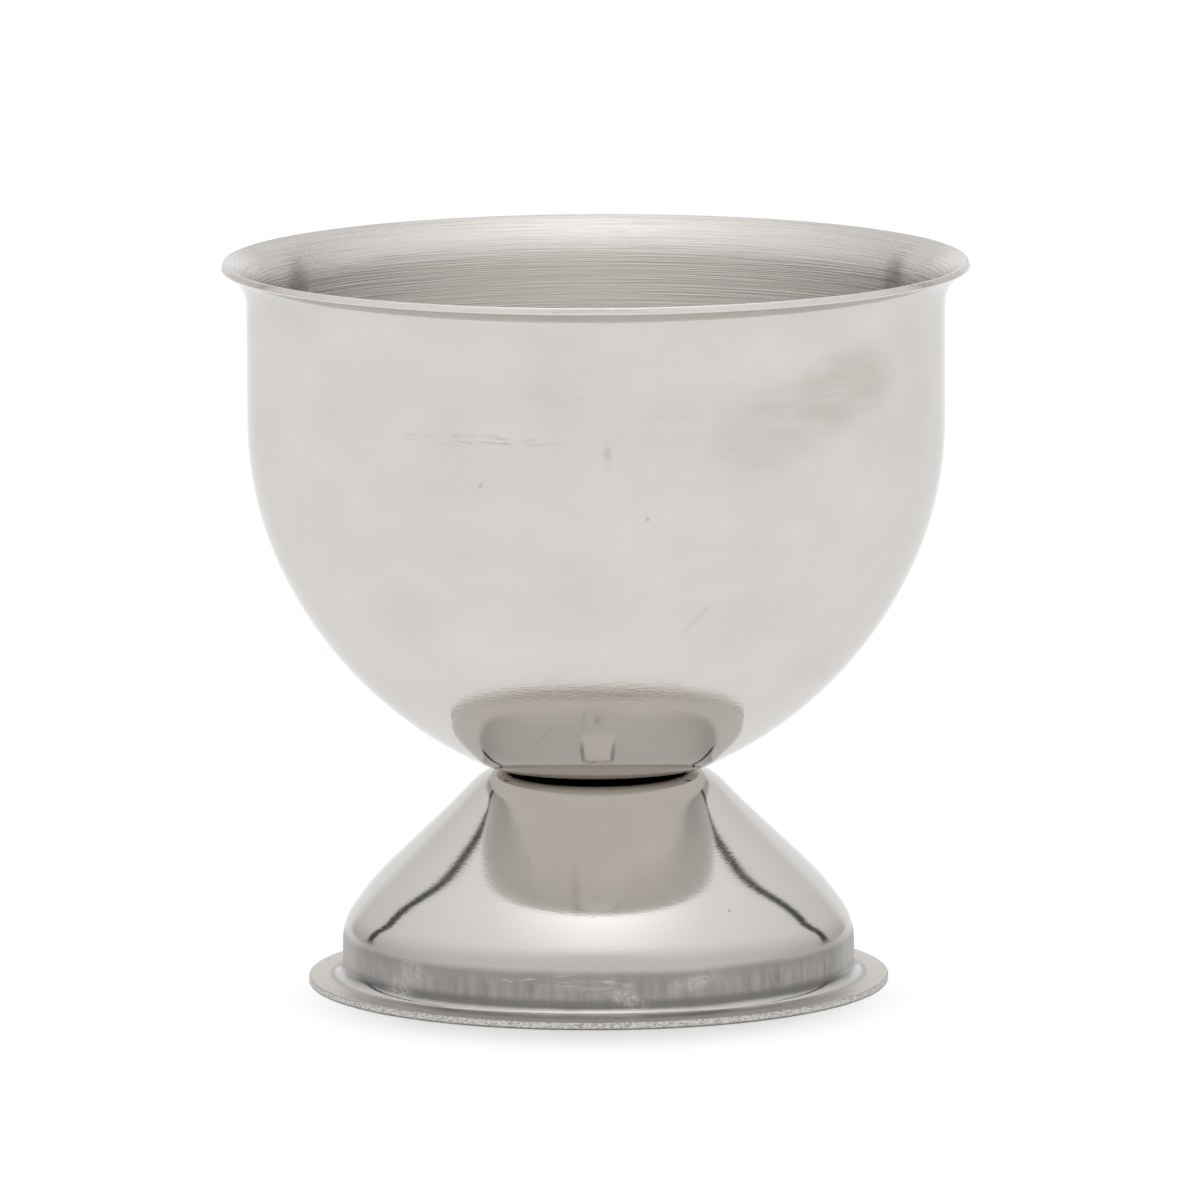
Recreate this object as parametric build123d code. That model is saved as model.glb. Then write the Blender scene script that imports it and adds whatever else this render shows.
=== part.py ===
from build123d import *
import math
import os

# Pressed egg cup in stainless sheet: a deep-drawn bowl spot-welded to a bell-shaped foot.
# Millimetres, +Z up. The origin is the middle of the foot's ring on the table.

# Sheet
sheet = 0.5  # gauge of the bowl and of the foot
edge_rounding = 0.1  # left on both corners of each sheared edge by tumbling

# Bowl, sizes on its outer face
body_diameter = 46.6
lip_overhang = 1.7  # how far the lip stands out from the wall, before its corners are rounded
lip_turn = 68.0  # degrees that the wall turns outwards to make the lip
wall_height = 7.7  # straight wall under the lip
side_radius = 23.4
side_sweep = 25.0  # degrees of side arc before the flatter lower arc takes over
lower_radius = 27.2
land_diameter = 14.12  # flat bottom that is welded to the foot
land_bend = 1.5

# Foot, sizes on its outer face
band_diameter = 34.3
flange_bend = 1.0
flange_width = 1.3  # flat ring outside the flange bend
band_height = 1.3  # upright band above the flange bend
knuckle_radius = 3.95
knuckle_sweep = 32.0  # degrees of tight knuckle before the slack crown arc
crown_radius = 14.9
cone_angle = 46.4  # degrees between the cone and the upright axis
flare_radius = 40.0  # the cone hollows a little towards the neck
flare_turn = 4.0  # degrees
neck_diameter = 17.2  # where the shoulder's bend starts
shoulder_bend = 4.5  # large, so that a groove is left under the bowl

# Spot welds
weld_count = 3
weld_diameter = 2.4  # nugget, at the faces where the sheets meet
weld_depth = 0.25  # how far a nugget reaches into each sheet
mark_diameter = 3.0  # shallow print of the electrode
mark_depth = 0.08
weld_margin = 0.9  # flat left between a print and the start of the bend

# Headings in a section, in degrees
OUTWARDS = 0
INWARDS = 180


def straight(length):
    """A straight stretch of sheet."""
    return length, None


def bend(radius, turn):
    """A round stretch of sheet, turning left by so many degrees, or right where it is negative."""
    return radius, turn


def sheet_face(start, heading, stretches):
    """Walk tangent stretches of one face of a sheet, and give the section of the sheet to its left."""
    direction = Vector(1, 0).rotate(Axis.Z, heading)
    across = direction.rotate(Axis.Z, 90) * sheet
    near_point = Vector(*start)
    far_point = near_point + across
    near_edges = []
    far_edges = []
    end_edges = [Edge.make_line(near_point, far_point)]
    for size, turn in stretches:
        if turn is None:
            near = Line(near_point, near_point + direction * size)
            far = Line(far_point, far_point + direction * size)
        else:
            far_radius = size - math.copysign(sheet, turn)
            near = JernArc(near_point, direction, size, turn)
            far = JernArc(far_point, direction, far_radius, turn)
        near_edges += near.edges()
        far_edges += far.edges()
        near_point = near @ 1
        far_point = far @ 1
        direction = near % 1
    end_edges.append(Edge.make_line(near_point, far_point))
    return make_face(near_edges + far_edges + end_edges)


def pressing(section):
    """Round the corners of the sheared edge, then turn the section about the upright axis."""
    corners = section.vertices().sort_by(Axis.X)[-2:]
    section = fillet(corners, edge_rounding)
    return revolve(Plane.XZ * section, Axis.Z)


# Foot
# The section runs in from the edge of the flange, up the band, round the knuckle and the crown,
# up the cone and its hollow flare, and over the shoulder to the axis.
flange_radius = band_diameter / 2 + flange_bend + flange_width
crown_sweep = cone_angle - knuckle_sweep
flare_angle = cone_angle - flare_turn
shoulder_turn = 90 - flare_angle
knuckle_run = knuckle_radius * (1 - math.cos(math.radians(knuckle_sweep)))
crown_run = crown_radius * (math.cos(math.radians(knuckle_sweep)) - math.cos(math.radians(cone_angle)))
flare_run = flare_radius * (math.cos(math.radians(flare_angle)) - math.cos(math.radians(cone_angle)))
cone_run = band_diameter / 2 - knuckle_run - crown_run - flare_run - neck_diameter / 2
cone_length = cone_run / math.sin(math.radians(cone_angle))
foot_land = neck_diameter / 2 - shoulder_bend * math.sin(math.radians(shoulder_turn))
foot_section = sheet_face(
    (flange_radius, sheet),
    INWARDS,
    [
        straight(flange_width),
        bend(flange_bend, -90),
        straight(band_height),
        bend(knuckle_radius, knuckle_sweep),
        bend(crown_radius, crown_sweep),
        straight(cone_length),
        bend(flare_radius, -flare_turn),
        bend(shoulder_bend, shoulder_turn),
        straight(foot_land),
    ],
)
foot = pressing(foot_section)
foot_height = foot_section.bounding_box().max.Y

# Bowl
# The section runs out from the axis over the land, up the lower and side arcs and the wall to the lip.
# The slope where the land's bend ends is the one at which the arcs reach the body's diameter.
side_heading = 90 - side_sweep
side_slope = math.sin(math.radians(side_heading))
arc_reach = lower_radius * side_slope + side_radius * (1 - side_slope)
lower_reach = land_diameter / 2 + arc_reach - body_diameter / 2
lower_heading = math.degrees(math.asin(lower_reach / (lower_radius - land_bend)))
lip_bend = lip_overhang / (1 - math.cos(math.radians(lip_turn)))
bowl_section = sheet_face(
    (0, foot_height),
    OUTWARDS,
    [
        straight(land_diameter / 2),
        bend(land_bend, lower_heading),
        bend(lower_radius, side_heading - lower_heading),
        bend(side_radius, side_sweep),
        straight(wall_height),
        bend(lip_bend, -lip_turn),
    ],
)
bowl = pressing(bowl_section)

# Spot welds
# Lens-shaped nuggets half in each sheet, with the electrodes' prints over and under them.
weld_pitch_radius = min(land_diameter / 2, foot_land) - weld_margin - mark_diameter / 2
weld_places = PolarLocations(weld_pitch_radius, weld_count)


def lenses(diameter, depth, level):
    """One lens at each weld, as deep above this level as below it."""
    ball_radius = (diameter**2 / 4 + depth**2) / (2 * depth)
    lift = Pos(0, 0, ball_radius - depth)
    lens = (lift * Sphere(ball_radius)) & (lift.inverse() * Sphere(ball_radius))
    return [place * Pos(0, 0, level) * lens for place in weld_places]


nuggets = lenses(weld_diameter, weld_depth, foot_height)
spot_welds = Compound(nuggets)
bowl = bowl - lenses(mark_diameter, mark_depth, foot_height + sheet) - nuggets
foot = foot - lenses(mark_diameter, mark_depth, foot_height - sheet) - nuggets

# Write one file for each piece
os.makedirs("parts", exist_ok=True)
export_step(bowl, "parts/bowl.step")
export_step(foot, "parts/foot.step")
export_step(spot_welds, "parts/spot_welds.step")
print("height", round(bowl.bounding_box().max.Z, 3), "foot", round(foot_height, 3))
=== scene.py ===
import math

import bmesh
import bpy
from mathutils import Matrix, Vector, noise


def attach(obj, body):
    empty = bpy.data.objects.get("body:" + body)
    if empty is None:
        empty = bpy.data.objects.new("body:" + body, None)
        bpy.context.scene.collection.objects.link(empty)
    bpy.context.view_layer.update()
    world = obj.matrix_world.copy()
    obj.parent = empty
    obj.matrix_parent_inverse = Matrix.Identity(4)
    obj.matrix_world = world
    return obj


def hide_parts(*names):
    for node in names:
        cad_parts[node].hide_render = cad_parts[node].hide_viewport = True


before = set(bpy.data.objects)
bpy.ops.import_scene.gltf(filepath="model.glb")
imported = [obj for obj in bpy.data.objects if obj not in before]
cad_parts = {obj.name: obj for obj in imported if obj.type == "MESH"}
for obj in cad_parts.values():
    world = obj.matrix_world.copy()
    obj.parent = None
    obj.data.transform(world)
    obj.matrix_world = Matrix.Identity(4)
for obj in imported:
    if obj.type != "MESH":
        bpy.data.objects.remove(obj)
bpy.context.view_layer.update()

MM = 0.001

# Sizes of the two pressings on their outer faces, in millimetres and degrees
SHEET = 0.5
EDGE_ROUNDING = 0.1
BODY_DIAMETER = 46.6
LIP_OVERHANG = 1.7
LIP_TURN = 68.0
WALL_HEIGHT = 7.7
SIDE_RADIUS = 23.4
SIDE_SWEEP = 25.0
LOWER_RADIUS = 27.2
LAND_DIAMETER = 14.12
LAND_BEND = 1.5
BAND_DIAMETER = 34.3
FLANGE_BEND = 1.0
FLANGE_WIDTH = 1.3
BAND_HEIGHT = 1.3
KNUCKLE_RADIUS = 3.95
KNUCKLE_SWEEP = 32.0
CROWN_RADIUS = 14.9
CONE_ANGLE = 46.4
FLARE_RADIUS = 40.0
FLARE_TURN = 4.0
NECK_DIAMETER = 17.2
SHOULDER_BEND = 4.5
WELD_COUNT = 3
MARK_DIAMETER = 3.0
MARK_DEPTH = 0.08
WELD_MARGIN = 0.9

# Fineness of the meshes
SEGMENTS = 360
RING_STEP = 0.45  # longest spacing of the rings, mm
BEND_STEP = 6.0  # most degrees between rings in a bend
ROUNDING_STEPS = 4
CUT_STEPS = 4

# Unevenness of the pressed sheet, mm
WAVE_DEPTH = 0.02
WAVE_LENGTH = 9.0
WAVE_FADE = (1.2, 3.5)  # heights between which the wave sets in, above the flat flange
SHEAR_DEPTH = 0.05
SHEAR_LENGTH = 0.9

EASE_TURN = 4.0  # degrees over two rings, up to which a change of bend is evened out
EASE_PASSES = 10
EASE_SHARE = 0.5  # of the way to the middle of its neighbours, that a point moves in a pass

# Zones of a section, which are also the material slots of its mesh
OUTSIDE, CUT, INSIDE = range(3)

# Finish of the steel: heights, distances and depths in mm, and tones where 1 mirrors all light
STEEL_HUE = (1.04, 1.0, 0.955)
GRAZING_TINT = 0.88  # stainless steel stays duller at grazing angles than most metals
BRUSH_TURN = 0.25  # share of a full turn between the brushing's sheen and the tangent round the axis
NOISE_SPAN = (0.3, 0.7)  # holds nearly all values of the noise
NOISE_MIDDLE = (0.35, 0.65)  # holds most of them
PATCH_CORE = 0.3  # share of a patch's reach within which it has its full strength

# Outside of the bowl
BOWL_TONES = (0.615, 0.655)  # of its broad clouds
BOWL_ROUGHNESS = (0.05, 0.08)
BOWL_GRAIN = 0.0045  # depth of the fine brushing
BOTTOM_POLISH = (19.6, 20.6)  # heights between which the polish of the bowl's bottom gives out
POLISH_SHARE = 0.4  # of the roughness and of the grain's depth that the polish leaves
COARSE_TOP = (23.5, 26.0)  # heights between which the coarser grain above it gets finer
COARSE_GAIN = 1.5  # how many times deeper the coarser grain is
HANDLING_COLOUR = (0.42, 0.39, 0.35, 1)  # of the marks on the front
SCRATCH_STEPS = 9  # patches in a row that make one scratch
SCRATCH_STRENGTH = 0.16
SPECK_STRENGTH = 0.5  # also on the cone
SPECK_REACH = 0.24

# Inside of the bowl
INSIDE_TONES = (0.73, 0.67)  # of the sheet, and of the single deeper lines in it
INSIDE_ROUGHNESS = (0.31, 0.36)
INSIDE_GRAIN = 0.05  # depth of the brushing
LINE_DEPTH = 0.25  # of a deeper line, as a share of that
LIP_POLISH = (44.5, 47.0)  # heights between which the brushing inside the bowl turns smoother
LIP_SHARE = 0.8  # of the roughness that is left at the lip
# Two painted dark reflections on the inside wall, left and right: the dark gaps between the walls, mirrored
DARK_REFLECTION_TONE = 0.4
DARK_REFLECTION_STRENGTH = 0.62

# Cut edges of the lip and the flange
RIM_TONES = (0.64, 0.78)
RIM_ROUGHNESS = (0.2, 0.3)
RIM_GRAIN = 0.006
SHEAR_TONES = (0.53, 0.72)
SHEAR_ROUGHNESS = (0.28, 0.45)
SHEAR_GRAIN = 0.015
PIT_STRENGTH = 0.7
PIT_AND_SHADE_TONE = 0.163  # also of the burr, where it is painted contact shadow at the floor
BURR_SHADE_HEIGHT = (0.26, 0.14)  # heights between which the flange's edge darkens to its burr, painted contact shadow where the edge meets the floor
BURR_SHADE_WANDER = 0.16

# Cone and knuckle of the foot
CONE_TONES = (0.61, 0.64)
CONE_ROUGHNESS = (0.08, 0.11)
FOOT_GRAIN = 0.0025  # depth of the fine grain
FOOT_MARK_TONE = 0.2
HAZY_ROUGHNESS = 0.18  # in one spot on the front of the cone
KNUCKLE_SHADE_TOP = (3.8, 5.0)  # heights between which the knuckle is painted a little darker than the cone, a painted reflection of the shadowed floor
KNUCKLE_SHADE_TONE = 0.54
POLISH_END = (3.2, 4.1)  # heights between which the polish of the foot gives out
HAZE_SIDES = (8.0, 12.0)  # distances to the left and right up to which it gives out higher
HAZE_RISE = 0.85  # how much higher

# Upright band of the foot
SCUFF_TOP = (3.1, 3.7)  # heights between which the die's scuffing of the band fades out
SCUFF_FOOT = (0.75, 1.05)  # heights between which it sets in
SCUFF_SHEEN_SIDES = (15.4, 16.8)  # distances to the left and right at which the scuffs give way to a painted sheen, lighter as the band is seen at a grazing angle
SHEEN_SIDE_SHARE = 0.4  # of the scuffs' strength that is left there
SCUFF_WANDER = 0.08  # how far the limits of the foot's finishes wander up and down
SCUFF_TONES = (0.25, 0.36)  # of the narrow upright streaks
BROAD_TONE = 0.35  # of the broad streaks over them
BROAD_STRENGTH = 0.5
STREAK_TOP = (2.3, 3.1)  # heights between which the upright streaks in the scuffing fade out
STREAK_SHARE = 0.3  # of the streaks that is left above
EVEN_TONE = 0.3  # of the scuffing between faded streaks
# Painted shade: the band is darkened low down in the flange's bend, where shade falls
BAND_SHADE_TOP = (1.3, 1.8)  # heights between which the painted shade in the flange's bend fades out
BAND_SHADE_FOOT = (0.9, 1.05)  # heights between which it sets in
BAND_SHADE_TONE = 0.18
BAND_SHADE_STRENGTH = 0.85
FLAKE_TONE = 0.75
WISP_STRENGTH = 0.4

# Flange of the foot
FLANGE_TOP = (0.55, 0.7)  # heights between which the flange's ring brushing ends
FLANGE_TONE = 0.74
FLANGE_ROUGHNESS = (0.4, 0.55)
RING_DEPTH = 6.0  # of the ring brushing, as a multiple of the foot's fine grain
BEND_TOP = (0.9, 1.4)  # heights between which the smoother bend turns to the rough band
BEND_ROUGHNESS = (0.1, 0.42)
CREASE_SHADE_FOOT = (0.5, 0.53)  # heights between which a painted dark line of shade sets in where the bend runs out
CREASE_SHADE_TOP = (0.62, 0.68)  # heights between which it ends
# tone and strength of that painted line of shade
CREASE_SHADE_TONE = 0.12
CREASE_SHADE_STRENGTH = 0.3

# Underside of the foot, and the welds
HOLLOW_TONES = (0.56, 0.62)
HOLLOW_ROUGHNESS = (0.22, 0.32)
HOLLOW_GRAIN = 0.0008
WELD_TONES = (0.45, 0.55)
WELD_ROUGHNESS = (0.4, 0.6)
WELD_GRAIN = 0.01

# Studio, in metres, and degrees seen from the cup
FLOOR_HALF = 8.0
FLOOR_LEVEL = 0.94  # share of light that the floor throws back
SHADOW_CENTRE = (0.0, -7.5)  # mm; round this point the floor keeps the cup's shadow
SHADOW_REACH = (12.5, 21.5)  # mm between which it turns to plain white
MIRRORED_WHITE = 0.85  # share of plain white in the shadow as the steel shows it
WALL_DISTANCE = 1.5
WALL_TOP = 50.0
WALL_STEP = 10  # degrees of each of the wall's flats
BACK_TURNS = (148, 156)  # turns between which the side's glow changes to that of the white sweep behind
SIDE_GLOW = ((0, 0.62), (15, 0.79), (35, 0.91), (WALL_TOP, 1.0))  # rise and brightness
FRONT_GLOW = ((0, 0.97), (20, 0.85), (35, 0.9), (WALL_TOP, 1.0))
BACK_GLOW = ((0, 1.0), (12, 1.0), (22, 0.8), (WALL_TOP, 0.85))
FRONT_FADE = (100, 45)  # turns between which the side's glow changes to the front's
CARD_DISTANCE = 1.3
CARD_GAP = 0.05  # between the bright panel and the wall behind it
GAP_TURNS = (-126.5, 124.5)  # dark gaps between the walls, from the camera's side, positive to its right
GAP_WIDTH = 5.0
GAP_TOP = 55.0
CLOTH_LEVEL = 0.05  # share of light that the dark cloth in the gaps throws back
POST_TURN = 14.5  # two posts behind the camera, with a bright panel between them
POST_WIDTH = 3.2
POST_RISE = (25.0, 34.0)
BAR_RISE = (34.0, 38.0)  # of the bar that joins the posts at their tops
PANEL_RISE = (21.0, 34.0)
DIM_LEVEL = 0.35  # brightness of the posts, the bar and the lens
LENS_TURN = 2.0
LENS_RISE = (11.5, 15.0)
SOFTBOX_CENTRE = (0.0, -0.3, 1.6)
SOFTBOX_REACH = 1.25
SOFTBOX_GAIN = 0.75  # how much its middle outshines its edge, where 1 is white
SOFTBOX_FALL = 1.5  # power with which it gains towards the middle
SOFTBOX_SIDES = 48

# Camera, fitted to the ellipses of the lip and the flange in the photograph; metres, degrees and mm
CAMERA_PLACE = (0.0002, -0.9994, 0.1761)
CAMERA_PITCH = 8.556
CAMERA_ROLL = -0.25
CAMERA_LENS = 453.4
SENSOR_WIDTH = 36.0


# Sections of the pressings

def sine(degrees):
    return math.sin(math.radians(degrees))


def cosine(degrees):
    return math.cos(math.radians(degrees))


def foot_land():
    """Radius of the flat top of the foot, where the shoulder's bend ends."""
    return NECK_DIAMETER / 2 - SHOULDER_BEND * cosine(CONE_ANGLE - FLARE_TURN)


def foot_stretches():
    """Straight (length, None) and round (radius, turn) stretches from the flange's edge to the axis."""
    flare_angle = CONE_ANGLE - FLARE_TURN
    knuckle_run = KNUCKLE_RADIUS * (1 - cosine(KNUCKLE_SWEEP))
    crown_run = CROWN_RADIUS * (cosine(KNUCKLE_SWEEP) - cosine(CONE_ANGLE))
    flare_run = FLARE_RADIUS * (cosine(flare_angle) - cosine(CONE_ANGLE))
    cone_run = BAND_DIAMETER / 2 - knuckle_run - crown_run - flare_run - NECK_DIAMETER / 2
    return [
        (FLANGE_WIDTH, None),
        (FLANGE_BEND, -90),
        (BAND_HEIGHT, None),
        (KNUCKLE_RADIUS, KNUCKLE_SWEEP),
        (CROWN_RADIUS, CONE_ANGLE - KNUCKLE_SWEEP),
        (cone_run / sine(CONE_ANGLE), None),
        (FLARE_RADIUS, -FLARE_TURN),
        (SHOULDER_BEND, 90 - flare_angle),
        (foot_land(), None),
    ]


def bowl_stretches():
    """Straight (length, None) and round (radius, turn) stretches from the axis to the lip's edge."""
    side_heading = 90 - SIDE_SWEEP
    arc_reach = LOWER_RADIUS * sine(side_heading) + SIDE_RADIUS * (1 - sine(side_heading))
    lower_reach = LAND_DIAMETER / 2 + arc_reach - BODY_DIAMETER / 2
    lower_heading = math.degrees(math.asin(lower_reach / (LOWER_RADIUS - LAND_BEND)))
    return [
        (LAND_DIAMETER / 2, None),
        (LAND_BEND, lower_heading),
        (LOWER_RADIUS, side_heading - lower_heading),
        (SIDE_RADIUS, SIDE_SWEEP),
        (WALL_HEIGHT, None),
        (LIP_OVERHANG / (1 - cosine(LIP_TURN)), -LIP_TURN),
    ]


def ahead_of(angle):
    return Vector((math.cos(angle), math.sin(angle)))


def left_of(angle):
    return Vector((-math.sin(angle), math.cos(angle)))


def walk(start, heading, stretches):
    """Points and headings along the outer face of a sheet that lies to the left of the path."""
    point = Vector(start)
    angle = math.radians(heading)
    path = [(point, angle)]
    for size, turn in stretches:
        if turn is None:
            count = math.ceil(size / RING_STEP)
            step = ahead_of(angle) * size / count
            for _ in range(count):
                point = point + step
                path.append((point, angle))
        else:
            sweep = math.radians(turn)
            count = max(math.ceil(abs(turn) / BEND_STEP), math.ceil(size * abs(sweep) / RING_STEP))
            radius = math.copysign(size, turn)
            centre = point + left_of(angle) * radius
            for _ in range(count):
                angle += sweep / count
                point = centre - left_of(angle) * radius
                path.append((point, angle))
    return path


def sheared_edge(corner, ahead, across):
    """Points of a cut edge from the outer to the inner face, with its corners tumbled round."""
    outer = corner + (across - ahead) * EDGE_ROUNDING
    inner = corner + across * (SHEET - EDGE_ROUNDING) - ahead * EDGE_ROUNDING
    swings = [90 * i / ROUNDING_STEPS for i in range(ROUNDING_STEPS + 1)]
    points = [outer + (ahead * sine(s) - across * cosine(s)) * EDGE_ROUNDING for s in swings]
    points += [outer.lerp(inner, i / CUT_STEPS) + ahead * EDGE_ROUNDING for i in range(1, CUT_STEPS)]
    points += [inner + (ahead * cosine(s) + across * sine(s)) * EDGE_ROUNDING for s in swings]
    return points


def section(face, ahead, across):
    """Rings from the axis along the outer face, over the cut edge and back along the inner face.
    The face is a list of points and inward directions; each ring is its point, inward direction,
    zone and length along the section."""
    corner = face[-1][0]
    face = [(point, inward) for point, inward in face if (point - corner).length > EDGE_ROUNDING]
    rings = [(point, inward, OUTSIDE) for point, inward in face]
    rings += [(point, -ahead, CUT) for point in sheared_edge(corner, ahead, across)]
    rings += [(point + inward * SHEET, inward, INSIDE) for point, inward in reversed(face)]
    measured = []
    along = 0.0
    last = rings[0][0]
    for point, inward, zone in rings:
        along += (point - last).length
        last = point
        measured.append((point, inward, zone, along))
    return measured


def eased(path):
    """The path with its slack bends run into each other, as pressed sheet does."""
    points = [point for point, _ in path]
    angles = [angle for _, angle in path]
    limit = math.radians(EASE_TURN)
    slack = [i for i in range(1, len(path) - 1) if abs(angles[i + 1] - angles[i - 1]) < limit]
    for _ in range(EASE_PASSES):
        middles = {i: (points[i - 1] + points[i + 1]) / 2 for i in slack}
        for i, middle in middles.items():
            points[i] = points[i].lerp(middle, EASE_SHARE)
    return list(zip(points, angles))


def foot_section():
    """Rings of the foot, from the axis out."""
    path = eased(walk((BAND_DIAMETER / 2 + FLANGE_BEND + FLANGE_WIDTH, SHEET), 180, foot_stretches()))
    face = [(point, left_of(angle)) for point, angle in reversed(path)]
    return section(face, Vector((1, 0)), Vector((0, -1)))


def bowl_section(foot_height):
    """Rings of the bowl, from the axis out."""
    path = walk((0, foot_height), 0, bowl_stretches())
    face = [(point, left_of(angle)) for point, angle in path]
    return section(face, ahead_of(path[-1][1]), left_of(path[-1][1]))


# Meshes

def unit_noise(place, length):
    """Smooth noise from 0 to 1 with features about this many millimetres long."""
    return 0.5 + 0.5 * max(-1.0, min(1.0, noise.noise(place / length)))


def smooth_step(low, high, value):
    share = max(0.0, min(1.0, (value - low) / (high - low)))
    return share * share * (3 - 2 * share)


def weld_print(x, y):
    """Depth of the electrodes' prints at a point of the land."""
    pitch_radius = min(LAND_DIAMETER / 2, foot_land()) - WELD_MARGIN - MARK_DIAMETER / 2
    depth = 0.0
    for i in range(WELD_COUNT):
        turn = 2 * math.pi * i / WELD_COUNT
        reach = math.hypot(x - pitch_radius * math.cos(turn), y - pitch_radius * math.sin(turn))
        depth = max(depth, MARK_DEPTH * (1 - smooth_step(0, MARK_DIAMETER / 2, reach)))
    return depth


def turned_point(ring, turn):
    """One point of a turned section, a little inside its true place where the sheet is uneven."""
    point, inward, zone, _ = ring
    x = math.cos(turn)
    y = math.sin(turn)
    true_place = Vector((point.x * x, point.x * y, point.y))
    if zone == CUT:
        depth = SHEAR_DEPTH * unit_noise(true_place, SHEAR_LENGTH)
    else:
        depth = WAVE_DEPTH * unit_noise(true_place, WAVE_LENGTH) * smooth_step(*WAVE_FADE, point.y)
    if zone == INSIDE and abs(inward.x) < EDGE_ROUNDING and point.x < LAND_DIAMETER / 2:
        depth -= weld_print(true_place.x, true_place.y)
    return true_place + Vector((inward.x * x, inward.x * y, inward.y)) * depth


def turned_piece(name, rings, materials):
    """Mesh of a section turned about the upright axis. Its points keep their place in millimetres, with
    the length along the section as height, for the brushing of the surface."""
    mesh = bmesh.new()
    brush = mesh.verts.layers.float_vector.new("brush")
    loops = []
    for ring in rings:
        point, _, _, along = ring
        count = SEGMENTS if point.x > 0 else 1
        loop = []
        for i in range(count):
            turn = 2 * math.pi * i / SEGMENTS
            vertex = mesh.verts.new(turned_point(ring, turn) * MM)
            vertex[brush] = (point.x * math.cos(turn), point.x * math.sin(turn), along)
            loop.append(vertex)
        loops.append(loop)
    for k in range(len(rings) - 1):
        here, beyond = loops[k], loops[k + 1]
        for i in range(SEGMENTS):
            j = (i + 1) % SEGMENTS
            corners = [here[i % len(here)], beyond[i % len(beyond)]]
            corners += [beyond[j % len(beyond)], here[j % len(here)]]
            face = mesh.faces.new(list(dict.fromkeys(corners)))
            near_zone, far_zone = rings[k][2], rings[k + 1][2]
            face.material_index = far_zone if near_zone == CUT else near_zone
            face.smooth = True
    bmesh.ops.recalc_face_normals(mesh, faces=mesh.faces)
    data = bpy.data.meshes.new(name)
    mesh.to_mesh(data)
    mesh.free()
    for material in materials:
        data.materials.append(material)
    piece = bpy.data.objects.new(name, data)
    bpy.context.scene.collection.objects.link(piece)
    return piece


# Nodes

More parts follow.
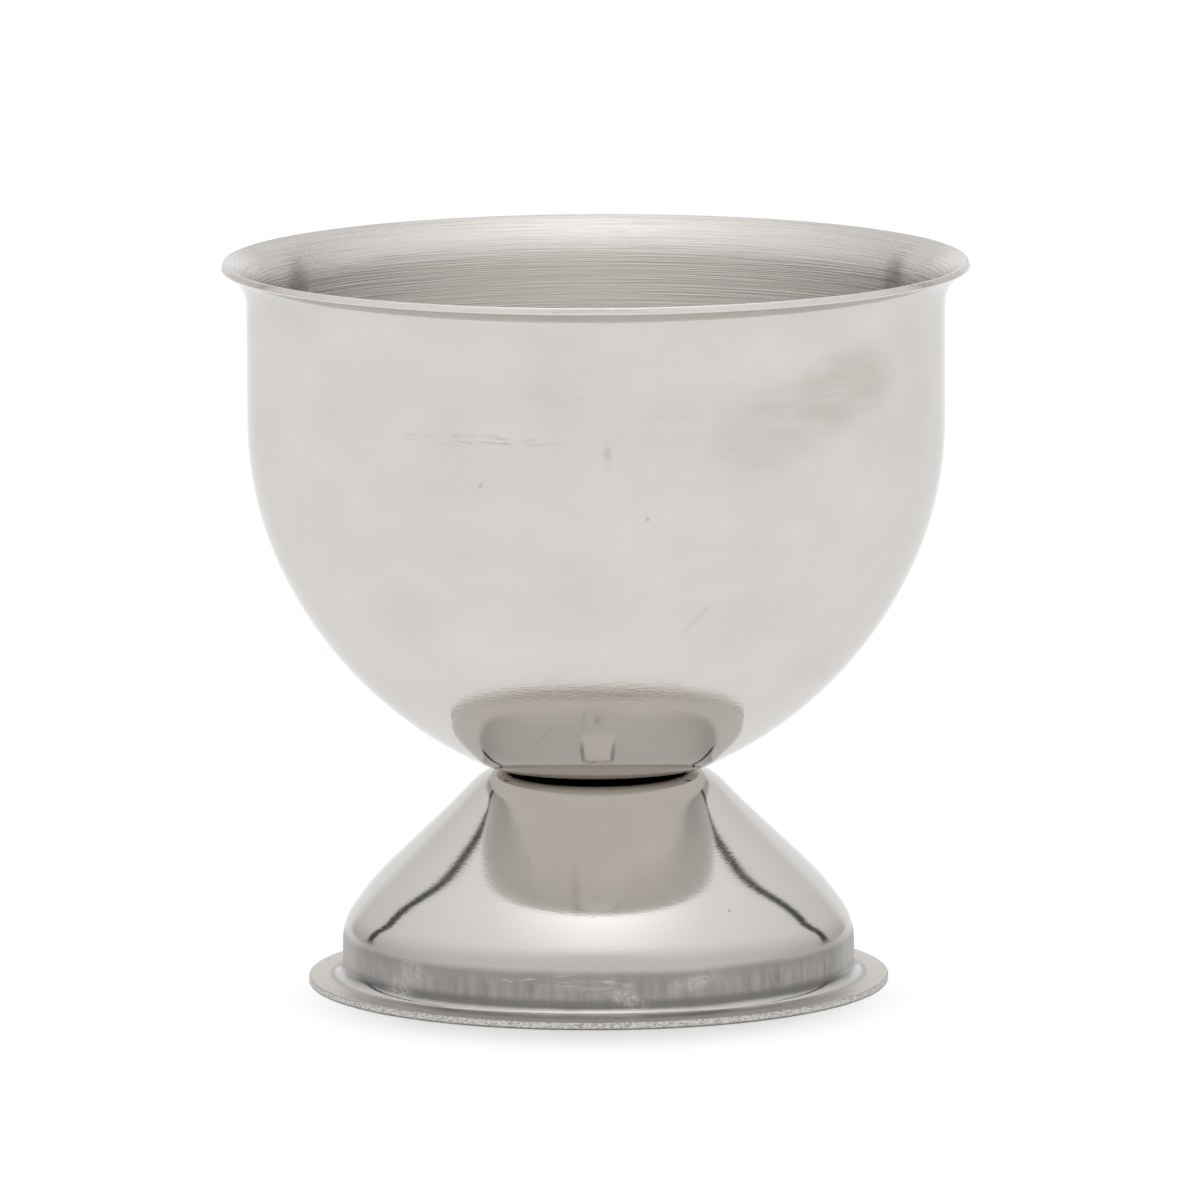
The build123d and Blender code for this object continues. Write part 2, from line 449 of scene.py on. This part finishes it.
class Nodes:
    """Adds and links nodes in one material or world."""

    def __init__(self, owner):
        owner.use_nodes = True
        self.tree = owner.node_tree
        self.tree.nodes.clear()

    def add(self, kind, inputs=None, **settings):
        """A node with these settings, whose inputs are values or other nodes' outputs."""
        node = self.tree.nodes.new(kind)
        for name, value in settings.items():
            setattr(node, name, value)
        for name, value in (inputs or {}).items():
            if isinstance(value, bpy.types.NodeSocket):
                self.tree.links.new(value, node.inputs[name])
            else:
                node.inputs[name].default_value = value
        return node

    def math(self, operation, first, second):
        """The outcome of one sum."""
        return self.add("ShaderNodeMath", {0: first, 1: second}, operation=operation).outputs[0]

    def strongest(self, first, *others):
        """The greatest of some numbers."""
        greatest = first
        for other in others:
            greatest = self.math("MAXIMUM", greatest, other)
        return greatest

    def spread(self, value, span, result, interpolation="LINEAR"):
        """The value's span, brought to the span of the result."""
        inputs = {"Value": value, "From Min": span[0], "From Max": span[1]}
        inputs.update({"To Min": result[0], "To Max": result[1]})
        return self.add("ShaderNodeMapRange", inputs, interpolation_type=interpolation).outputs[0]

    def blend(self, share, first, second):
        """A colour between two colours."""
        node = self.add("ShaderNodeMix", {0: share, 6: first, 7: second}, data_type="RGBA")
        return node.outputs[2]

    def shade(self, share, tones):
        """A colour between two tones of the steel."""
        return self.blend(share, tone(tones[0]), tone(tones[1]))

    def between(self, share, first, second):
        """A number between two numbers."""
        return self.add("ShaderNodeMix", {0: share, 2: first, 3: second}).outputs[0]

    def ramp(self, share, stops):
        """A colour blended between stops: their places from 0 to 1, and colours."""
        node = self.add("ShaderNodeValToRGB", {0: share})
        elements = node.color_ramp.elements
        elements[0].color = stops[0][1]
        elements[1].color = stops[-1][1]
        for place, colour in stops[1:-1]:
            elements.new(place).color = colour
        return node.outputs[0]

    def place(self):
        """Place in the cup's frame, in metres."""
        return self.add("ShaderNodeTexCoord").outputs["Object"]

    def along(self, axis):
        """Place along one axis of the cup's frame, in metres."""
        return self.add("ShaderNodeSeparateXYZ", {0: self.place()}).outputs[axis]

    def glow(self, colour, strength):
        """An even light of this colour and brightness."""
        return self.add("ShaderNodeEmission", {"Color": colour, "Strength": strength}).outputs[0]

    def finish(self, surface):
        """Make this shader the surface."""
        self.add("ShaderNodeOutputMaterial", {"Surface": surface})

    def streaks(self, length, width, shift=0.0, detail=2.0):
        """Noise drawn out round the axis: grains so many millimetres long and wide."""
        brush = self.add("ShaderNodeAttribute", attribute_name="brush").outputs["Vector"]
        inputs = {"Vector": brush, "Location": (shift, shift, shift)}
        inputs["Scale"] = (1 / length, 1 / length, 1 / width)
        scaled = self.add("ShaderNodeMapping", inputs).outputs[0]
        return self.add("ShaderNodeTexNoise", {"Vector": scaled, "Scale": 1.0, "Detail": detail}).outputs[0]

    def grain(self, size):
        """Even noise in grains of this many millimetres."""
        inputs = {"Vector": self.place(), "Scale": 1 / (size * MM), "Detail": 4.0}
        return self.add("ShaderNodeTexNoise", inputs).outputs[0]

    def height(self):
        """Height above the table in millimetres."""
        return self.math("DIVIDE", self.along("Z"), MM)

    def patch(self, centre, reach):
        """1 in the middle of a patch and 0 from its edge on: its centre and half-sizes in millimetres."""
        inputs = {"Vector": self.place(), "Location": Vector(centre) * MM, "Scale": Vector(reach) * MM}
        near = self.add("ShaderNodeMapping", inputs, vector_type="TEXTURE").outputs[0]
        away = self.add("ShaderNodeVectorMath", {0: near}, operation="LENGTH").outputs["Value"]
        return self.spread(away, (PATCH_CORE, 1.0), (1.0, 0.0), "SMOOTHSTEP")

    def trail(self, start, end, reach, strengths):
        """Patches of these strengths in a row that run into each other."""
        row = []
        for i, strength in enumerate(strengths):
            centre = Vector(start).lerp(Vector(end), i / (len(strengths) - 1))
            row.append(self.math("MULTIPLY", self.patch(centre, reach), strength))
        return self.strongest(*row)

    def bump(self, height, depth):
        """The surface's normal with bumps this many millimetres deep."""
        inputs = {"Height": height, "Distance": depth * MM, "Strength": 1.0}
        return self.add("ShaderNodeBump", inputs).outputs[0]


def steel(name, settings, anisotropy=0.0):
    """A bare metal material from its base colour, roughness and normal."""
    material = bpy.data.materials.new(name)
    nodes = Nodes(material)
    inputs = {"Metallic": 1.0, "Specular Tint": grey(GRAZING_TINT)}
    if anisotropy:
        inputs["Anisotropic"] = anisotropy
        inputs["Anisotropic Rotation"] = BRUSH_TURN
        inputs["Tangent"] = nodes.add("ShaderNodeTangent", direction_type="RADIAL", axis="Z").outputs[0]
    inputs.update(settings(nodes))
    nodes.finish(nodes.add("ShaderNodeBsdfPrincipled", inputs).outputs[0])
    return material


def tone(level):
    """A shade of the steel's faintly warm grey."""
    return (*(level * part for part in STEEL_HUE), 1)


def grey(level):
    """A plain grey, where 1 is white."""
    return (level, level, level, 1)


# Materials of the cup

def handling_marks(nodes):
    """Strength of the smudges, dashes, specks and scratch on the front of the bowl."""
    smudge = nodes.trail(
        start=(10.5, -20.8, 39.4),
        end=(17.0, -15.9, 42.6),
        reach=(5.6, 5.6, 3.4),
        strengths=(0.24, 0.34, 0.46, 0.46),
    )
    haze = nodes.trail(
        start=(-2.6, -23.2, 41.9),
        end=(5.0, -22.8, 40.4),
        reach=(3.6, 3.6, 3.0),
        strengths=(0.16, 0.1, 0.16),
    )
    cloud = nodes.streaks(length=5.0, width=0.9, shift=31.0, detail=3.0)
    cloud = nodes.spread(cloud, span=(0.35, 0.6), result=(0.6, 1.0))
    soft = nodes.math("MULTIPLY", nodes.strongest(smudge, haze), cloud)
    dashed = nodes.trail(
        start=(-11.5, -20.3, 39.6),
        end=(-3.6, -23.0, 39.6),
        reach=(2.2, 2.2, 0.6),
        strengths=(0.2, 0.45, 0.5, 0.25),
    )
    dashes = nodes.streaks(length=1.2, width=0.25, shift=37.0, detail=3.0)
    dashes = nodes.spread(dashes, span=(0.47, 0.6), result=(0.0, 1.0))
    dashed = nodes.math("MULTIPLY", dashed, dashes)
    scratch = nodes.trail(
        start=(5.8, -19.51, 26.63),
        end=(7.18, -19.85, 28.13),
        reach=(0.25, 0.25, 0.25),
        strengths=[SCRATCH_STRENGTH] * SCRATCH_STEPS,
    )
    drop = nodes.trail(
        start=(0.73, -23.29, 38.2),
        end=(0.73, -23.29, 39.6),
        reach=(0.45, 0.45, 0.8),
        strengths=(0.1, 0.35, 0.1),
    )
    marks = nodes.strongest(soft, dashed, scratch, drop)
    speck_places = (
        (0.73, -23.29, 38.77),
        (3.32, -22.79, 34.47),
        (-7.57, -21.99, 36.65),
        (-18.41, -8.35, 26.37),
    )
    for centre in speck_places:
        speck = nodes.patch(centre, reach=(SPECK_REACH, SPECK_REACH, SPECK_REACH))
        marks = nodes.strongest(marks, nodes.math("MULTIPLY", speck, SPECK_STRENGTH))
    return marks


def satin_outside(nodes):
    """Fine short brushing round the bowl, coarser below and polished at the bottom, with handling marks."""
    fine = nodes.streaks(length=0.7, width=0.12)
    coarse = nodes.spread(nodes.height(), COARSE_TOP, (COARSE_GAIN, 1.0))
    polish = nodes.spread(nodes.height(), BOTTOM_POLISH, (POLISH_SHARE, 1.0))
    relief = nodes.math("MULTIPLY", fine, nodes.math("MULTIPLY", coarse, polish))
    broad = nodes.streaks(length=7.0, width=5.0, shift=7.0, detail=3.0)
    clean = nodes.shade(nodes.spread(broad, NOISE_MIDDLE, (0.0, 1.0)), BOWL_TONES)
    roughness = nodes.spread(fine, NOISE_SPAN, BOWL_ROUGHNESS)
    return {
        "Base Color": nodes.blend(handling_marks(nodes), clean, HANDLING_COLOUR),
        "Roughness": nodes.math("MULTIPLY", roughness, polish),
        "Normal": nodes.bump(relief, BOWL_GRAIN),
    }


def brushed_inside(nodes):
    """Coarser brushing inside the bowl, with single deeper lines and two painted dark reflections; smoother
    on the lip.
    """
    fine = nodes.streaks(length=7.0, width=0.1, shift=3.0)
    lines = nodes.streaks(length=12.0, width=0.12, shift=17.0)
    lines = nodes.spread(lines, span=(0.52, 0.72), result=(0.0, 1.0))
    relief = nodes.math("ADD", fine, nodes.math("MULTIPLY", lines, LINE_DEPTH))
    roughness = nodes.spread(fine, NOISE_SPAN, INSIDE_ROUGHNESS)
    polish = nodes.spread(nodes.height(), LIP_POLISH, (1.0, LIP_SHARE), "SMOOTHSTEP")
    # painted reflection: two dark patches, one each side, stand in for the dark gaps mirrored in the wall
    dark_reflections = [nodes.patch(centre=(side * 20.1, 10.7, 45.2), reach=(1.2, 3.0, 2.8)) for side in (-1, 1)]
    dark_reflected = nodes.math("MULTIPLY", nodes.strongest(*dark_reflections), DARK_REFLECTION_STRENGTH)
    return {
        "Base Color": nodes.blend(dark_reflected, nodes.shade(lines, INSIDE_TONES), tone(DARK_REFLECTION_TONE)),
        "Roughness": nodes.math("MULTIPLY", roughness, polish),
        "Normal": nodes.bump(relief, INSIDE_GRAIN),
    }


def rim_cut(nodes):
    """Cut edge of the lip, tumbled smooth."""
    grain = nodes.streaks(length=0.6, width=0.1, detail=4.0)
    return {
        "Base Color": nodes.shade(grain, RIM_TONES),
        "Roughness": nodes.spread(grain, NOISE_SPAN, RIM_ROUGHNESS),
        "Normal": nodes.bump(grain, RIM_GRAIN),
    }


def flange_cut(nodes):
    """Torn cut edge of the flange: bright shear with dark pits, and a dark burr underneath that is painted
    contact shadow where the edge meets the floor.
    """
    grain = nodes.streaks(length=0.3, width=0.1, detail=4.0)
    pits = nodes.streaks(length=0.26, width=0.07, shift=9.0, detail=3.0)
    pits = nodes.spread(pits, span=(0.48, 0.6), result=(0.0, PIT_STRENGTH))
    # painted shadow: the edge darkens towards the floor as contact shadow, with real dark pits
    ragged = nodes.math("ADD", nodes.height(), nodes.math("MULTIPLY", grain, BURR_SHADE_WANDER))
    dark = nodes.strongest(pits, nodes.spread(ragged, BURR_SHADE_HEIGHT, (0.0, 1.0)))
    return {
        "Base Color": nodes.blend(dark, nodes.shade(grain, SHEAR_TONES), tone(PIT_AND_SHADE_TONE)),
        "Roughness": nodes.spread(grain, NOISE_SPAN, SHEAR_ROUGHNESS),
        "Normal": nodes.bump(grain, SHEAR_GRAIN),
    }


def pale_flakes(nodes):
    """Strength of the torn flakes and the swept wisps on the band."""
    flakes = nodes.trail(
        start=(-13.2, -10.9, 1.2),
        end=(-12.3, -11.9, 2.6),
        reach=(2.0, 2.0, 1.4),
        strengths=(0.4, 0.3),
    )
    tear_ends = (
        ((0.9, -17.1, 2.2), (2.7, -16.9, 1.2)),
        ((5.3, -16.3, 2.3), (7.6, -15.4, 2.8)),
    )
    for start, end in tear_ends:
        tear = nodes.trail(start, end, reach=(0.9, 0.9, 0.7), strengths=(0.25, 0.45, 0.4, 0.2))
        flakes = nodes.strongest(flakes, tear)
    grit = nodes.spread(nodes.grain(size=0.22), span=(0.42, 0.68), result=(0.25, 1.0))
    swept = nodes.trail(
        start=(-5.5, -16.3, 2.9),
        end=(0.5, -17.1, 2.6),
        reach=(2.5, 2.5, 0.7),
        strengths=(1.0, 1.0, 1.0),
    )
    wisps = nodes.streaks(length=1.4, width=0.25, shift=47.0, detail=4.0)
    wisps = nodes.spread(wisps, span=(0.52, 0.68), result=(0.0, WISP_STRENGTH))
    return nodes.strongest(nodes.math("MULTIPLY", flakes, grit), nodes.math("MULTIPLY", swept, wisps))


def band_scuffs(nodes):
    """Colour of the band: upright scuffs from the die, painted shade in the bend below them, and pale
    flakes.
    """
    narrow = nodes.streaks(length=0.6, width=3.0, shift=23.0, detail=4.0)
    colour = nodes.shade(nodes.spread(narrow, NOISE_MIDDLE, (0.0, 1.0)), SCUFF_TONES)
    broad = nodes.streaks(length=2.2, width=5.0, shift=43.0)
    colour = nodes.blend(nodes.spread(broad, NOISE_MIDDLE, (0.0, BROAD_STRENGTH)), colour, tone(BROAD_TONE))
    streaked = nodes.spread(nodes.height(), STREAK_TOP, (1.0, STREAK_SHARE), "SMOOTHSTEP")
    colour = nodes.blend(streaked, tone(EVEN_TONE), colour)
    # painted shade in the flange's bend, low on the band
    band_shade = nodes.spread(nodes.height(), BAND_SHADE_TOP, (BAND_SHADE_STRENGTH, 0.0), "SMOOTHSTEP")
    band_shade = nodes.math("MULTIPLY", band_shade, nodes.spread(nodes.height(), BAND_SHADE_FOOT, (0.0, 1.0)))
    colour = nodes.blend(band_shade, colour, tone(BAND_SHADE_TONE))
    return nodes.blend(pale_flakes(nodes), colour, tone(FLAKE_TONE))


def foot_marks(nodes):
    """Strength of the smear, the scuffs and the speck on the front of the cone."""
    smear = nodes.trail(
        start=(-1.5, -12.7, 9.1),
        end=(-1.5, -14.4, 7.5),
        reach=(0.45, 1.4, 1.4),
        strengths=(0.1, 0.16, 0.1),
    )
    scuffs = nodes.trail(
        start=(-5.35, -8.9, 11.42),
        end=(-4.68, -10.97, 9.94),
        reach=(0.3, 0.9, 0.8),
        strengths=(0.1, 0.05, 0.1),
    )
    speck = nodes.patch(centre=(8.69, -12.42, 6.77), reach=(0.2, 0.2, 0.2))
    return nodes.strongest(smear, scuffs, nodes.math("MULTIPLY", speck, SPECK_STRENGTH))


def bright_foot(nodes):
    """Bright sheet with a knuckle painted darker, a painted reflection of the shadowed floor, scuffed dull
    by the die on the upright band, and ring-brushed on the flange, with a painted dark line of shade beside
    the flange's bend; the scuffs turn lighter to the sides as a painted grazing sheen."""
    wander = nodes.streaks(length=5.0, width=40.0, shift=5.0)
    wander = nodes.spread(wander, NOISE_SPAN, (-SCUFF_WANDER, SCUFF_WANDER))
    height = nodes.math("ADD", nodes.height(), wander)
    aside = nodes.math("DIVIDE", nodes.math("ABSOLUTE", nodes.along("X"), 0.0), MM)
    fine = nodes.streaks(length=0.45, width=0.12, shift=11.0)
    rings = nodes.streaks(length=9.0, width=0.1, shift=19.0)
    bent = nodes.spread(height, FLANGE_TOP, (0.0, 1.0))

    colour = nodes.blend(foot_marks(nodes), nodes.shade(fine, CONE_TONES), tone(FOOT_MARK_TONE))
    # painted reflection: the knuckle is darkened as if mirroring the shadowed floor by the flange
    knuckle = nodes.spread(height, KNUCKLE_SHADE_TOP, (1.0, 0.0), "SMOOTHSTEP")
    colour = nodes.blend(knuckle, colour, tone(KNUCKLE_SHADE_TONE))
    colour = nodes.blend(bent, tone(FLANGE_TONE), colour)
    # painted shade: a thin dark line where the flange's bend runs out
    crease_shade = nodes.spread(nodes.height(), CREASE_SHADE_FOOT, (0.0, CREASE_SHADE_STRENGTH))
    crease_shade = nodes.math("MULTIPLY", crease_shade, nodes.spread(nodes.height(), CREASE_SHADE_TOP, (1.0, 0.0)))
    colour = nodes.blend(crease_shade, colour, tone(CREASE_SHADE_TONE))
    scuffed = nodes.spread(height, SCUFF_TOP, (1.0, 0.0), "SMOOTHSTEP")
    scuffed = nodes.math("MULTIPLY", scuffed, nodes.spread(height, SCUFF_FOOT, (0.0, 1.0)))
    # painted sheen: the scuffs fade towards the sides, where the band is seen at a grazing angle
    side_sheen = nodes.spread(aside, SCUFF_SHEEN_SIDES, (1.0, SHEEN_SIDE_SHARE), "SMOOTHSTEP")
    scuffed = nodes.math("MULTIPLY", scuffed, side_sheen)

    flange_rough = nodes.spread(rings, NOISE_SPAN, FLANGE_ROUGHNESS)
    worn_rough = nodes.between(bent, flange_rough, nodes.spread(height, BEND_TOP, BEND_ROUGHNESS))
    hazy = nodes.patch(centre=(0.0, -14.0, 7.9), reach=(2.4, 1.6, 1.6))
    cone_rough = nodes.between(hazy, nodes.spread(fine, NOISE_SPAN, CONE_ROUGHNESS), HAZY_ROUGHNESS)
    risen = nodes.spread(aside, HAZE_SIDES, (HAZE_RISE, 0.0), "SMOOTHSTEP")
    unpolished = nodes.spread(nodes.math("SUBTRACT", height, risen), POLISH_END, (1.0, 0.0), "SMOOTHSTEP")
    relief = nodes.between(bent, nodes.math("MULTIPLY", rings, RING_DEPTH), fine)
    return {
        "Base Color": nodes.blend(scuffed, colour, band_scuffs(nodes)),
        "Roughness": nodes.between(unpolished, cone_rough, worn_rough),
        "Normal": nodes.bump(relief, FOOT_GRAIN),
    }


def foot_hollow(nodes):
    """Plain mill finish under the foot."""
    fine = nodes.streaks(length=5.0, width=0.15, shift=13.0)
    broad = nodes.streaks(length=12.0, width=4.0, shift=29.0)
    return {
        "Base Color": nodes.shade(broad, HOLLOW_TONES),
        "Roughness": nodes.spread(fine, NOISE_SPAN, HOLLOW_ROUGHNESS),
        "Normal": nodes.bump(fine, HOLLOW_GRAIN),
    }


def fused_steel(nodes):
    """Grainy fused metal of the weld nuggets."""
    grain = nodes.grain(size=0.25)
    return {
        "Base Color": nodes.shade(grain, WELD_TONES),
        "Roughness": nodes.spread(grain, NOISE_SPAN, WELD_ROUGHNESS),
        "Normal": nodes.bump(grain, WELD_GRAIN),
    }


# The cup

foot_rings = foot_section()
foot_height = foot_rings[0][0].y
foot_materials = [
    steel("bright_foot", bright_foot),
    steel("flange_cut", flange_cut),
    steel("foot_hollow", foot_hollow),
]
bowl_materials = [
    steel("satin_outside", satin_outside),
    steel("rim_cut", rim_cut),
    steel("brushed_inside", brushed_inside, anisotropy=1.0),
]
foot = turned_piece("foot_skin", foot_rings, foot_materials)
bowl = turned_piece("bowl_skin", bowl_section(foot_height), bowl_materials)
for piece, node in ((foot, "foot"), (bowl, "bowl")):
    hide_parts(node)
    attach(piece, "root")
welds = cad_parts["spot_welds"]
welds.data.materials.clear()
welds.data.materials.append(steel("fused_steel", fused_steel))


# Studio

def stage_material(name):
    """An empty material of the studio, and its nodes."""
    material = bpy.data.materials.new(name)
    return material, Nodes(material)


def floor_material():
    """White floor that keeps the cup's shadow. From below it lets the view through."""
    material, nodes = stage_material("pale_floor")
    path = nodes.add("ShaderNodeLightPath").outputs
    mirrored = nodes.strongest(path["Is Glossy Ray"], path["Is Transmission Ray"])
    middle = {0: nodes.place(), 1: (*(value * MM for value in SHADOW_CENTRE), 0)}
    away = nodes.add("ShaderNodeVectorMath", middle, operation="DISTANCE").outputs["Value"]
    lit = nodes.spread(nodes.math("DIVIDE", away, MM), SHADOW_REACH, (0.0, 1.0), "SMOOTHSTEP")
    mirrored_lit = nodes.spread(lit, (0.0, 1.0), (MIRRORED_WHITE, 1.0))
    seen_white = nodes.math("MULTIPLY", path["Is Camera Ray"], lit)
    white_share = nodes.strongest(seen_white, nodes.math("MULTIPLY", mirrored, mirrored_lit))
    paper = nodes.add("ShaderNodeBsdfDiffuse", {"Color": grey(FLOOR_LEVEL)}).outputs[0]
    white = nodes.glow(grey(1.0), 1.0)
    top = nodes.add("ShaderNodeMixShader", {0: white_share, 1: paper, 2: white}).outputs[0]
    below = nodes.add("ShaderNodeNewGeometry").outputs["Backfacing"]
    clear = nodes.add("ShaderNodeBsdfTransparent").outputs[0]
    nodes.finish(nodes.add("ShaderNodeMixShader", {0: below, 1: top, 2: clear}).outputs[0])
    return material


def wall_material():
    """Studio walls that grow lighter with height, brighter by the camera, and white low down behind."""
    material, nodes = stage_material("studio_wall")
    steepness = math.tan(math.radians(WALL_TOP))
    rise = nodes.spread(nodes.along("Z"), (0.0, WALL_DISTANCE * steepness), (0.0, 1.0))
    colours = []
    for glow in (SIDE_GLOW, FRONT_GLOW, BACK_GLOW):
        stops = [(math.tan(math.radians(degrees)) / steepness, grey(level)) for degrees, level in glow]
        colours.append(nodes.ramp(rise, stops))
    side, front, back = colours
    shares = []
    for turns in (FRONT_FADE, BACK_TURNS):
        reach = [-WALL_DISTANCE * cosine(turn) for turn in turns]
        shares.append(nodes.spread(nodes.along("Y"), reach, (0.0, 1.0)))
    colour = nodes.blend(shares[1], nodes.blend(shares[0], side, front), back)
    nodes.finish(nodes.glow(colour, 1.0))
    return material


def softbox_material():
    """Overhead softbox, white at its edge and brightest in the middle."""
    material, nodes = stage_material("softbox")
    ends = {0: nodes.place(), 1: SOFTBOX_CENTRE}
    away = nodes.add("ShaderNodeVectorMath", ends, operation="DISTANCE").outputs["Value"]
    inwards = nodes.spread(away, (SOFTBOX_REACH, 0.0), (0.0, 1.0))
    gain = nodes.math("MULTIPLY", nodes.math("POWER", inwards, SOFTBOX_FALL), SOFTBOX_GAIN)
    nodes.finish(nodes.glow(grey(1.0), nodes.math("ADD", gain, 1.0)))
    return material


def glow_material(name, level):
    """An evenly lit thing in the room."""
    material, nodes = stage_material(name)
    nodes.finish(nodes.glow(grey(1.0), level))
    return material


def dark_material():
    """Dark cloth."""
    material, nodes = stage_material("dark_cloth")
    nodes.finish(nodes.add("ShaderNodeBsdfDiffuse", {"Color": grey(CLOTH_LEVEL)}).outputs[0])
    return material


def stage_mesh(name, points, faces, material):
    """A piece of the studio."""
    data = bpy.data.meshes.new(name)
    data.from_pydata(points, [], faces)
    data.materials.append(material)
    piece = bpy.data.objects.new(name, data)
    bpy.context.scene.collection.objects.link(piece)
    return piece


def place_at(turn, distance, height):
    """A point this many degrees round from the camera's side."""
    return Vector((distance * sine(turn), -distance * cosine(turn), height))


def card(name, turns, distance, rise, material):
    """An upright card bent round the cup between these turns and this rise, seen in reflections only."""
    heights = [distance * math.tan(math.radians(degrees)) for degrees in rise]
    points = [place_at(turn, distance, height) for turn in turns for height in heights]
    faces = [(2 * i, 2 * i + 2, 2 * i + 3, 2 * i + 1) for i in range(len(turns) - 1)]
    stage_mesh(name, points, faces, material).visible_camera = False


corners = [(-FLOOR_HALF, -FLOOR_HALF, 0), (FLOOR_HALF, -FLOOR_HALF, 0)]
corners += [(FLOOR_HALF, FLOOR_HALF, 0), (-FLOOR_HALF, FLOOR_HALF, 0)]
stage_mesh("floor", corners, [(0, 1, 2, 3)], floor_material())
wall_turns = list(range(-180, 181, WALL_STEP))
card("studio_wall", wall_turns, WALL_DISTANCE, (0, WALL_TOP), wall_material())
dark = dark_material()
for side, turn in zip(("left", "right"), GAP_TURNS):
    card(side + "_gap", (turn - GAP_WIDTH / 2, turn + GAP_WIDTH / 2), CARD_DISTANCE, (0, GAP_TOP), dark)
dim = glow_material("dim_metal", DIM_LEVEL)
for side, turn in (("left", -POST_TURN), ("right", POST_TURN)):
    card(side + "_post", (turn - POST_WIDTH / 2, turn + POST_WIDTH / 2), CARD_DISTANCE, POST_RISE, dim)
card("bar", (-POST_TURN, 0, POST_TURN), CARD_DISTANCE, BAR_RISE, dim)
card("lens", (-LENS_TURN, LENS_TURN), CARD_DISTANCE, LENS_RISE, dim)
white = glow_material("white_panel", 1.0)
card("panel", (-POST_TURN, 0, POST_TURN), WALL_DISTANCE - CARD_GAP, PANEL_RISE, white)

softbox_steps = [place_at(360 * i / SOFTBOX_SIDES, SOFTBOX_REACH, 0) for i in range(SOFTBOX_SIDES)]
softbox_rim = [Vector(SOFTBOX_CENTRE) + step for step in softbox_steps]
softbox = stage_mesh("softbox", softbox_rim, [tuple(range(SOFTBOX_SIDES))], softbox_material())
softbox.visible_camera = False

world = bpy.data.worlds.new("white_room")
bpy.context.scene.world = world
room = Nodes(world)
background = room.add("ShaderNodeBackground", {"Color": grey(1.0), "Strength": 1.0})
room.add("ShaderNodeOutputWorld", {"Surface": background.outputs[0]})
bpy.context.scene.view_settings.view_transform = "Standard"

# Camera

view = bpy.data.cameras.new("camera")
view.lens = CAMERA_LENS
view.sensor_width = SENSOR_WIDTH
camera = bpy.data.objects.new("camera", view)
camera.location = CAMERA_PLACE
tilt = Matrix.Rotation(math.radians(90 - CAMERA_PITCH), 3, "X")
roll = Matrix.Rotation(math.radians(CAMERA_ROLL), 3, "Z")
camera.rotation_euler = (tilt @ roll).to_euler()
bpy.context.scene.collection.objects.link(camera)
bpy.context.scene.camera = camera
